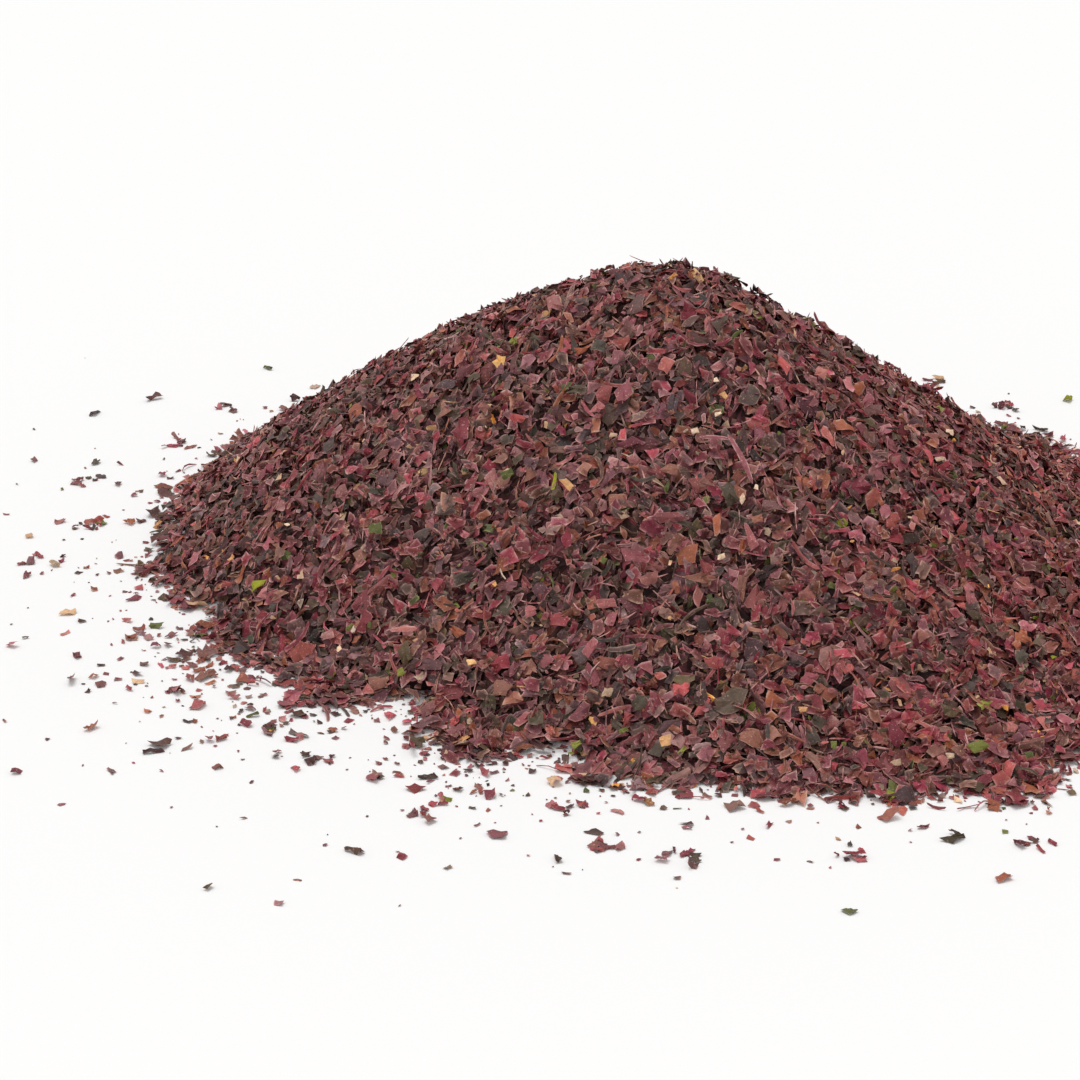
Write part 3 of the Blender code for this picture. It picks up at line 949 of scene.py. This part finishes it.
def heap_core():
    """A closed crumbly mound under the flakes, which stays inside their foot."""
    rng = np.random.default_rng(CORE_SEED)
    angle = np.arange(CORE_SIDES) * FULL_TURN / CORE_SIDES
    out = np.linspace(0, 1, CORE_RINGS + 1)[1:] ** CORE_RING_POWER
    radius = out[:, None] * (flake_edge(angle) - CORE_INSET)[None, :]
    x = radius * np.cos(angle)
    y = radius * np.sin(angle)
    x[:-1] += rng.normal(0, CORE_STRAY, x[:-1].shape)
    y[:-1] += rng.normal(0, CORE_STRAY, y[:-1].shape)
    z = heap_height(x, y) - CORE_DEPTH + rng.normal(0, CORE_CRUMB, x.shape)
    z = np.maximum(z, CORE_LOWEST)
    z[-1] = FLOOR_GAP
    peak_height = heap_height(np.zeros(1), np.zeros(1))[0] - CORE_DEPTH
    ends = np.array([[0, 0, peak_height], [0, 0, FLOOR_GAP / 2]])
    points = np.concatenate([np.stack([x, y, z], -1).reshape(-1, 3), ends])
    here = np.arange(CORE_SIDES)
    after = (here + 1) % CORE_SIDES
    peak = CORE_SIDES * CORE_RINGS
    faces = [np.stack([here, after, 0 * here + peak], 1)]
    for low in range(0, peak - CORE_SIDES, CORE_SIDES):
        high = low + CORE_SIDES
        faces.append(np.stack([low + here, high + here, low + after], 1))
        faces.append(np.stack([low + after, high + here, high + after], 1))
    last = peak - CORE_SIDES
    faces.append(np.stack([last + after, last + here, 0 * here + peak + 1], 1))
    mesh = bpy.data.meshes.new("heap_core")
    fill_mesh(mesh, points, np.concatenate(faces))
    piece = new_piece("heap_core", mesh, core_material(), CORE_SHARP)
    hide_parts("heap")


def view_frame():
    """The photograph's view: where it is taken from, and its right, its up and its way back."""
    middle = FRAME_PIXELS / 2
    right = (middle - PEAK_PIXEL[0]) / PIXELS_PER_MM * MM
    up = (PEAK_PIXEL[1] - middle) / PIXELS_PER_MM * MM / math.cos(VIEW_ELEVATION)
    back = np.array([0, -math.cos(VIEW_ELEVATION), math.sin(VIEW_ELEVATION)])
    distance = VIEW_DISTANCE - up * math.sin(VIEW_ELEVATION)
    eye = np.array([right, 0, up]) + back * distance
    return eye, np.array([1.0, 0, 0]), np.array([0, math.sin(VIEW_ELEVATION), -back[1]]), back


def under_pixel(pixel):
    """The point of the heap's surface that a pixel of the photograph shows."""
    eye, right, up, back = view_frame()
    focal = PIXELS_PER_MM * VIEW_DISTANCE / MM
    aside, above = pixel[0] - FRAME_PIXELS / 2, FRAME_PIXELS / 2 - pixel[1]
    ray = (aside * right + above * up) / focal - back
    way = eye + np.linspace(RAY_NEAR, RAY_FAR, RAY_STEPS)[:, None] * VIEW_DISTANCE * ray
    met = way[:, 2] <= np.maximum(heap_height(way[:, 0], way[:, 1]), 0)
    return way[np.argmax(met)]


def notable_flakes(rng):
    """The notable flakes, turned towards the view, each with its place and facing."""
    _, right, up, back = view_frame()
    made = []
    for flake in NOTABLE:
        spot = under_pixel(flake.pixel)
        normal = heap_normal(spot[:1], spot[1:2])[0]
        facing = normal + NOTABLE_TURN * back
        facing /= np.linalg.norm(facing)
        points = math.radians(flake.points)
        along = math.cos(points) * right + math.sin(points) * up
        along -= facing * (along @ facing)
        along /= np.linalg.norm(along)
        turn = np.stack([along, np.cross(facing, along), facing], axis=-1)[None]
        if flake.slim < NOTABLE_CHIP:
            size = {"length": (flake.length,) * 2, "width": (flake.length * flake.slim,) * 2}
            one = strips(rng, 1, NOTABLE_STRIP_FORM._replace(**size))
        else:
            size = {"length": (NOTABLE_GROWTH * flake.length,) * 2, "slim": (flake.slim,) * 2}
            one = chips(rng, 1, OWN_CORNERS, OWN_STEPS, NOTABLE_CHIP_FORM._replace(**size))
        place = spot + NOTABLE_LIFT * normal
        made.append((flake, settle(one, place[None], turn), place, facing))
    return made


def clear_of(flakes, notable):
    """Leaves out the flakes that would lie over a notable one."""
    middle = flakes["local"].mean(axis=1)
    keep = np.ones(len(middle), bool)
    for flake, _, place, facing in notable:
        off = middle - place
        above = off @ facing
        aside = np.linalg.norm(off - above[:, None] * facing, axis=1)
        reach = CLEAR_LENGTH * flake.length + CLEAR_REACH * flakes["reach"]
        keep &= (above < CLEAR_FROM) | (above > CLEAR_TO) | (aside > reach)
    return picked(flakes, keep)


def colours_drawn(rng, reach):
    """The row of COLOUR_SHARES that each flake takes its colour from, by its half length."""
    shares = np.array(list(COLOUR_SHARES.values()))
    accent = np.array([name in ACCENTS for name in COLOUR_SHARES])
    scarce = np.clip((ACCENT_REACH / reach) ** ACCENT_POWER, *ACCENT_LIMITS)[:, None]
    weight = shares * np.where(accent, scarce, 1.0)
    upto = np.cumsum(weight, axis=1) / weight.sum(axis=1, keepdims=True)
    return (rng.random((len(reach), 1)) > upto).sum(axis=1)


def build_heap_flakes(materials):
    rng = np.random.default_rng(HEAP_SEED)
    names = list(COLOUR_SHARES)
    pieces = {(name, part): Piece() for name in names for part in range(PIECES_OF.get(name, 1))}
    notable = notable_flakes(rng)
    for flake, made, _, _ in notable:
        pieces["laver_" + flake.colour, 0].add_notable(made, flake.pale)
    for flakes in heap_flakes(rng):
        flakes = clear_of(flakes, notable)
        family = colours_drawn(rng, flakes["reach"])
        for name, part in pieces:
            rows = np.flatnonzero(family == names.index(name))
            pieces[name, part].add(rng, picked(flakes, rows[part :: PIECES_OF.get(name, 1)]))
    for (name, part), piece in pieces.items():
        label = name.replace("laver", "heap") + (f"_{part + 1}" if name in PIECES_OF else "")
        made = piece.make(label, materials[name])
        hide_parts("heap")


def lone_colour(node):
    """The colour of a lone loose solid, which comes round in a cycle."""
    return "laver_" + LONE_COLOURS[(int(node.split("_")[-1]) - 1) % len(LONE_COLOURS)]


def loose_density(x, y):
    """How many loose flakes lie on a square metre: most at the foot, on one side."""
    angle = np.arctan2(y, x)
    beyond = np.hypot(x, y) - flake_edge(angle)
    aside = (angle - LOOSE_SIDE + math.pi) % FULL_TURN - math.pi
    near = np.exp(-((aside / LOOSE_SPREAD) ** 2))
    amount = LOOSE_ELSEWHERE + (1 - LOOSE_ELSEWHERE) * near
    reach = LOOSE_REACH + LOOSE_REACH_MORE * near
    beyond = np.maximum(beyond, 0)
    few = LOOSE_TAIL_ELSEWHERE + (1 - LOOSE_TAIL_ELSEWHERE) * near
    tail = LOOSE_TAIL * few * np.exp(-beyond / LOOSE_TAIL_REACH)
    return LOOSE_DENSITY * amount * np.exp(-beyond / reach) + tail


def loose_places(rng, share):
    """Random places on the floor, at this share of the full density."""
    low = np.array(CAD_BOX[0][:2]) + LOOSE_MARGIN
    high = np.array(CAD_BOX[1][:2]) - LOOSE_MARGIN
    most = LOOSE_DENSITY + LOOSE_TAIL
    tries = rng.poisson(most * share * np.prod(high - low))
    x, y = rng.uniform(low, high, (tries, 2)).T
    keep = rng.random(tries) * most < loose_density(x, y)
    keep &= np.hypot(x, y) > flake_edge(np.arctan2(y, x)) - LOOSE_UNDER
    return x[keep], y[keep]


def on_floor(rng, flakes, x, y, lean):
    count = len(x)
    tilt = np.abs(rng.normal(0, lean, count))
    spin, toward = rng.uniform(0, FULL_TURN, (2, count))
    place = np.stack([x, y, np.full(count, -1.0)], -1)
    return settle(flakes, place, turned(spin, tilt, toward, np.tile([0.0, 0.0, 1.0], (count, 1))))


def clump_flakes(rng, low, high):
    """Small flakes lying over each other in the space of one loose solid."""
    count = CLUMP_FLAKES
    size = (high - low)[:2]
    aside = np.clip(rng.normal(0, CLUMP_STRAY, (2, count)), -CLUMP_STRAY_MOST, CLUMP_STRAY_MOST)
    x, y = ((high + low)[:2] / 2)[:, None] + aside * size[:, None]
    made = chips(rng, count, OWN_CORNERS, OWN_STEPS, CLUMP_FORM)
    return on_floor(rng, made, x, y, CLUMP_LEAN)


def lone_flake(rng, low, high):
    """One flake in the space of a loose solid."""
    size = (high - low)[:2]
    x, y = (high + low)[:2] / 2
    length = rng.uniform(*LONE_LENGTH) * size.max()
    made = chips(rng, 1, OWN_CORNERS, OWN_STEPS, LONE_FORM._replace(length=(length, length)))
    return on_floor(rng, made, np.array([x]), np.array([y]), LONE_LEAN)


def build_loose_flakes(materials):
    rng = np.random.default_rng(LOOSE_SEED)
    names = list(COLOUR_SHARES)
    shares = np.array(list(COLOUR_SHARES.values())) ** LOOSE_COLOUR_POWER
    shares /= shares.sum()
    pieces = {name: Piece() for name in names}
    nodes = {name: set() for name in names}
    for node in sorted(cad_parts):
        if node == "heap":
            continue
        low, high = (np.array(corner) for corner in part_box(node))
        if node.startswith("clump"):
            made = clump_flakes(rng, low, high)
            family = rng.choice(len(names), CLUMP_FLAKES, p=shares)
        else:
            made = lone_flake(rng, low, high)
            family = np.array([names.index(lone_colour(node))])
        for index in np.unique(family):
            rows = np.flatnonzero(family == index)
            # Loose flakes take the paler tone: painted light, as of the white floor's light through
            # and round them.
            pieces[names[index]].add(rng, picked(made, rows), LOOSE_PALE_WITH_PAINTED_LIGHT)
            nodes[names[index]].add(node)
    for share, corners, steps, form in SCATTERED:
        x, y = loose_places(rng, share)
        made = chips(rng, len(x), corners, steps, form)
        placed = on_floor(rng, made, x, y, SCATTERED_LEAN)
        family = rng.choice(len(names), len(x), p=shares)
        for index, name in enumerate(names):
            # The scattered flakes take the same paler tone of painted light.
            pieces[name].add(rng, picked(placed, np.flatnonzero(family == index)), LOOSE_PALE_WITH_PAINTED_LIGHT)
    for name, piece in pieces.items():
        made = piece.make(name.replace("laver", "loose"), materials[name])
        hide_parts(*sorted(nodes[name]))


def camera():
    data = bpy.data.cameras.new("camera")
    data.sensor_width = SENSOR_WIDTH
    data.lens = PIXELS_PER_MM * VIEW_DISTANCE / MM * SENSOR_WIDTH / FRAME_PIXELS
    data.clip_start = CLIP_NEAR
    data.clip_end = CLIP_FAR
    obj = bpy.data.objects.new("camera", data)
    obj.location = view_frame()[0]
    obj.rotation_euler = (math.pi / 2 - VIEW_ELEVATION, 0, 0)
    bpy.context.scene.collection.objects.link(obj)
    bpy.context.scene.camera = obj


# The floor's size, colour and gloss, and the light: all round, and from a wide soft lamp.
FLOOR_SIZE = 6000 * MM
FLOOR_COLOUR = (0.93, 0.925, 0.92, 1)
FLOOR_ROUGHNESS = 0.8
FLOOR_SPECULAR = 0.1
ROUND_LIGHT = 0.67
LAMP_LIGHT = 1.33
LAMP_WIDTH = math.radians(35)
LAMP_WAY = (-0.2, 0.2, 1.0)


def lamp():
    """A wide soft light, as even over the whole floor as a studio's."""
    data = bpy.data.lights.new("key", "SUN")
    data.angle = LAMP_WIDTH
    data.energy = LAMP_LIGHT
    light = bpy.data.objects.new("key", data)
    light.rotation_euler = Vector(LAMP_WAY).to_track_quat("Z", "Y").to_euler()
    bpy.context.scene.collection.objects.link(light)


def studio():
    """A plain near-white floor under soft, even light."""
    graph = Graph("floor_white")
    graph.shader.inputs["Base Color"].default_value = FLOOR_COLOUR
    graph.shader.inputs["Roughness"].default_value = FLOOR_ROUGHNESS
    graph.shader.inputs["Specular IOR Level"].default_value = FLOOR_SPECULAR
    bpy.ops.mesh.primitive_plane_add(size=FLOOR_SIZE)
    floor = bpy.context.object
    floor.name = "floor"
    floor.data.materials.append(graph.material)
    world = bpy.data.worlds.new("studio")
    world.use_nodes = True
    background = world.node_tree.nodes["Background"]
    background.inputs["Color"].default_value = (1, 1, 1, 1)
    background.inputs["Strength"].default_value = ROUND_LIGHT
    bpy.context.scene.world = world
    lamp()
    bpy.context.scene.view_settings.view_transform = "Standard"


camera()
studio()
MATERIALS = {name: laver_material(name) for name in FAMILIES}
heap_core()
build_heap_flakes(MATERIALS)
build_loose_flakes(MATERIALS)
